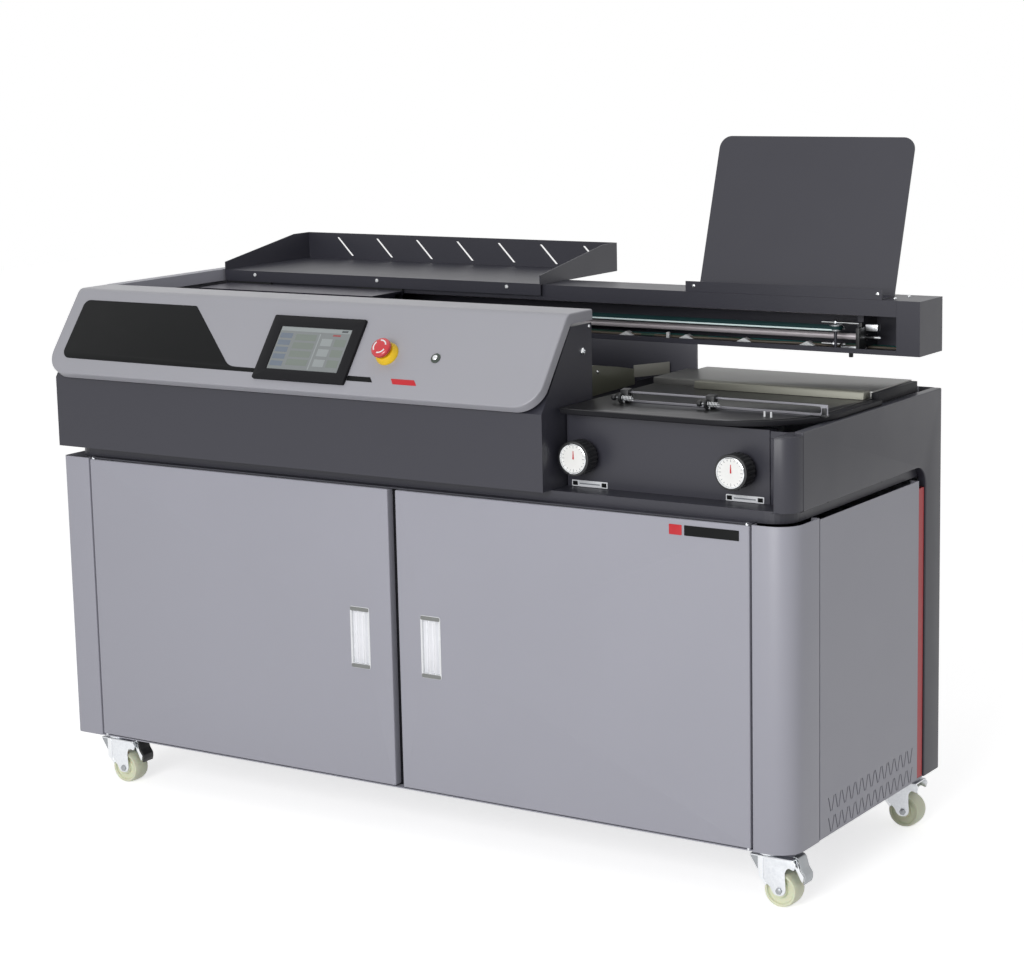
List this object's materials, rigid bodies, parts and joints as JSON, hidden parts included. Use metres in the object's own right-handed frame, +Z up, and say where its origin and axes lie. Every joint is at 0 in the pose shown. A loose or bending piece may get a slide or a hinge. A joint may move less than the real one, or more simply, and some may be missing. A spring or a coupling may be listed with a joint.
{
  "type": "hot glue binding machine",
  "caption": "Floor-standing machine that mills, glues and covers book spines: cabinet, console, beam with clamp carriage, cover table, tray.",
  "frame": {"origin": "on the floor, under the middle of the outer box", "axes": "+X to the operator's right along the cabinet, +Y to the back, +Z up"},
  "size_m": [1.654, 0.8326, 1.2951],
  "materials": {
    "light_grey_paint": "satin powder coat",
    "dark_grey_paint": "satin powder coat",
    "red_paint": "satin",
    "black_plastic": "fine texture",
    "ground_steel": "ground",
    "table_steel": "ground",
    "cast_aluminium": "satin",
    "zinc_steel": "zinc plated",
    "cream_nylon": "moulded",
    "red_plastic": "gloss",
    "yellow_plastic": "moulded",
    "white_plastic": "gloss",
    "display": "gloss",
    "belt_rubber": "matt",
    "enamelled_iron": "enamelled"
  },
  "bodies": {
    "cabinet": {"base_frame": "dark_grey_paint", "left_end_panel": "light_grey_paint", "right_corner_post": "light_grey_paint", "right_side_panel": "light_grey_paint", "right_end_shell": "dark_grey_paint", "accent_strip": "red_paint", "back_panel": "light_grey_paint", "power_inlet": "black_plastic", "top_deck": "dark_grey_paint", "console_body": "dark_grey_paint", "fascia": "light_grey_paint", "screen_bezel": "black_plastic", "touch_screen": "display", "estop_collar": "yellow_plastic", "left_upper_cover": "light_grey_paint", "knob_panel": "dark_grey_paint", "upper_corner_post": "dark_grey_paint", "beam_channel": "dark_grey_paint", "rear_wall": "dark_grey_paint", "beam_end_box": "dark_grey_paint", "guide_rod_lower": "ground_steel", "guide_rod_upper": "ground_steel", "drive_belt": "belt_rubber", "carriage_motor": "enamelled_iron", "milling_motor": "enamelled_iron", "glue_tank": "cast_aluminium", "delivery_tray": "dark_grey_paint", "tray_bracket_left": "dark_grey_paint", "tray_bracket_right": "dark_grey_paint", "document_stand": "dark_grey_paint"},
    "left_door": {"door_left": "light_grey_paint", "pull_left": "white_plastic"},
    "right_door": {"door_right": "light_grey_paint", "pull_right": "white_plastic"},
    "emergency_stop": {"estop_button": "red_plastic"},
    "start_button": {"start_button": "ground_steel"},
    "left_knob": {"knob_left": "black_plastic"},
    "right_knob": {"knob_right": "black_plastic"},
    "drive_pulley": {"drive_pulley": "cast_aluminium"},
    "idler_pulley": {"idler_pulley": "cast_aluminium"},
    "carriage": {"clamp_carriage": "cast_aluminium", "fixed_jaw": "ground_steel"},
    "clamp_jaw": {"moving_jaw": "ground_steel"},
    "cover_table": {"cover_table": "table_steel", "guide_bar": "ground_steel"},
    "nip_plate": {"nip_plate": "table_steel"},
    "left_stop": {"cover_stop_left": "black_plastic"},
    "right_stop": {"cover_stop_right": "black_plastic"},
    "glue_roller": {"glue_roller": "ground_steel"},
    "milling_cutter": {"milling_cutter": "ground_steel"},
    "fork_front_left": {"caster_fork_front_left": "zinc_steel"},
    "wheel_front_left": {"caster_wheel_front_left": "cream_nylon"},
    "fork_front_right": {"caster_fork_front_right": "zinc_steel"},
    "wheel_front_right": {"caster_wheel_front_right": "cream_nylon"},
    "fork_rear_left": {"caster_fork_rear_left": "zinc_steel"},
    "wheel_rear_left": {"caster_wheel_rear_left": "cream_nylon"},
    "fork_rear_right": {"caster_fork_rear_right": "zinc_steel"},
    "wheel_rear_right": {"caster_wheel_rear_right": "cream_nylon"},
    "pedal_front_left": {"brake_pedal_front_left": "black_plastic"},
    "pedal_front_right": {"brake_pedal_front_right": "zinc_steel"}
  },
  "joints": [
    {"name": "left_door_hinge", "type": "hinge", "parent": "cabinet", "child": "left_door", "pos_m": [-0.741, -0.37769, 0.392], "axis": [0, 0, -1], "range_deg": [0, 100]},
    {"name": "right_door_hinge", "type": "hinge", "parent": "cabinet", "child": "right_door", "pos_m": [0.735, -0.37769, 0.392], "axis": [0, 0, 1], "range_deg": [0, 100]},
    {"name": "emergency_stop_press", "type": "slide", "parent": "cabinet", "child": "emergency_stop", "axis": [0, 0.8154, -0.5789], "range_m": [0, 0.004], "stiffness_N_per_m": 1500, "springref_m": -0.002},
    {"name": "start_button_press", "type": "slide", "parent": "cabinet", "child": "start_button", "axis": [0, 0.8154, -0.5789], "range_m": [0, 0.003], "stiffness_N_per_m": 1000, "springref_m": -0.001},
    {"name": "left_knob_turn", "type": "hinge", "parent": "cabinet", "child": "left_knob", "pos_m": [0.375, -0.31069, 0.76], "axis": [0, 1, 0], "continuous": true},
    {"name": "right_knob_turn", "type": "hinge", "parent": "cabinet", "child": "right_knob", "pos_m": [0.69, -0.31069, 0.76], "axis": [0, 1, 0], "continuous": true},
    {"name": "carriage_travel", "type": "slide", "parent": "cabinet", "child": "carriage", "axis": [1, 0, 0], "range_m": [0, 1.09]},
    {"name": "jaw_close", "type": "slide", "parent": "carriage", "child": "clamp_jaw", "axis": [0, 1, 0], "range_m": [0, 0.058]},
    {"name": "drive_pulley_spin", "type": "hinge", "parent": "cabinet", "child": "drive_pulley", "pos_m": [-0.741, 0.14731, 0.95], "axis": [0, 0, 1], "continuous": true},
    {"name": "idler_pulley_spin", "type": "hinge", "parent": "cabinet", "child": "idler_pulley", "pos_m": [0.643, 0.14731, 0.95], "axis": [0, 0, 1], "continuous": true},
    {"name": "table_lift", "type": "slide", "parent": "cabinet", "child": "cover_table", "axis": [0, 0, 1], "range_m": [0, 0.015]},
    {"name": "nip_close", "type": "slide", "parent": "cover_table", "child": "nip_plate", "axis": [0, -1, 0], "range_m": [0, 0.055]},
    {"name": "left_stop_slide", "type": "slide", "parent": "cover_table", "child": "left_stop", "axis": [1, 0, 0], "range_m": [-0.012, 0.07]},
    {"name": "right_stop_slide", "type": "slide", "parent": "cover_table", "child": "right_stop", "axis": [1, 0, 0], "range_m": [-0.07, 0.15]},
    {"name": "glue_roller_spin", "type": "hinge", "parent": "cabinet", "child": "glue_roller", "pos_m": [0.11584, -0.04139, 0.844], "axis": [0, 1, 0], "continuous": true},
    {"name": "milling_cutter_spin", "type": "hinge", "parent": "cabinet", "child": "milling_cutter", "pos_m": [-0.14897, -0.04139, 0.86], "axis": [0, 0, 1], "continuous": true},
    {"name": "swivel_front_left", "type": "hinge", "parent": "cabinet", "child": "fork_front_left", "pos_m": [-0.751, -0.33369, 0.09], "axis": [0, 0, 1], "continuous": true},
    {"name": "roll_front_left", "type": "hinge", "parent": "fork_front_left", "child": "wheel_front_left", "pos_m": [-0.723, -0.33369, 0.03161], "axis": [0, 1, 0], "continuous": true},
    {"name": "swivel_front_right", "type": "hinge", "parent": "cabinet", "child": "fork_front_right", "pos_m": [0.753, -0.33369, 0.09], "axis": [0, 0, 1], "continuous": true},
    {"name": "roll_front_right", "type": "hinge", "parent": "fork_front_right", "child": "wheel_front_right", "pos_m": [0.781, -0.33369, 0.03161], "axis": [0, 1, 0], "continuous": true},
    {"name": "swivel_rear_left", "type": "hinge", "parent": "cabinet", "child": "fork_rear_left", "pos_m": [-0.751, 0.17631, 0.09], "axis": [0, 0, 1], "continuous": true},
    {"name": "roll_rear_left", "type": "hinge", "parent": "fork_rear_left", "child": "wheel_rear_left", "pos_m": [-0.723, 0.17631, 0.03161], "axis": [0, 1, 0], "continuous": true},
    {"name": "swivel_rear_right", "type": "hinge", "parent": "cabinet", "child": "fork_rear_right", "pos_m": [0.753, 0.17631, 0.09], "axis": [0, 0, 1], "continuous": true},
    {"name": "roll_rear_right", "type": "hinge", "parent": "fork_rear_right", "child": "wheel_rear_right", "pos_m": [0.781, 0.17631, 0.03161], "axis": [0, 1, 0], "continuous": true},
    {"name": "brake_front_left", "type": "hinge", "parent": "fork_front_left", "child": "pedal_front_left", "pos_m": [-0.713, -0.33369, 0.07201], "axis": [0, 1, 0], "range_deg": [0, 15]},
    {"name": "brake_front_right", "type": "hinge", "parent": "fork_front_right", "child": "pedal_front_right", "pos_m": [0.791, -0.33369, 0.07201], "axis": [0, 1, 0], "range_deg": [0, 15]}
  ],
  "couplings": [
    {"joint": "drive_pulley_spin", "follows": "carriage_travel", "rad_per_m": 88.496},
    {"joint": "idler_pulley_spin", "follows": "carriage_travel", "rad_per_m": 88.496}
  ]
}
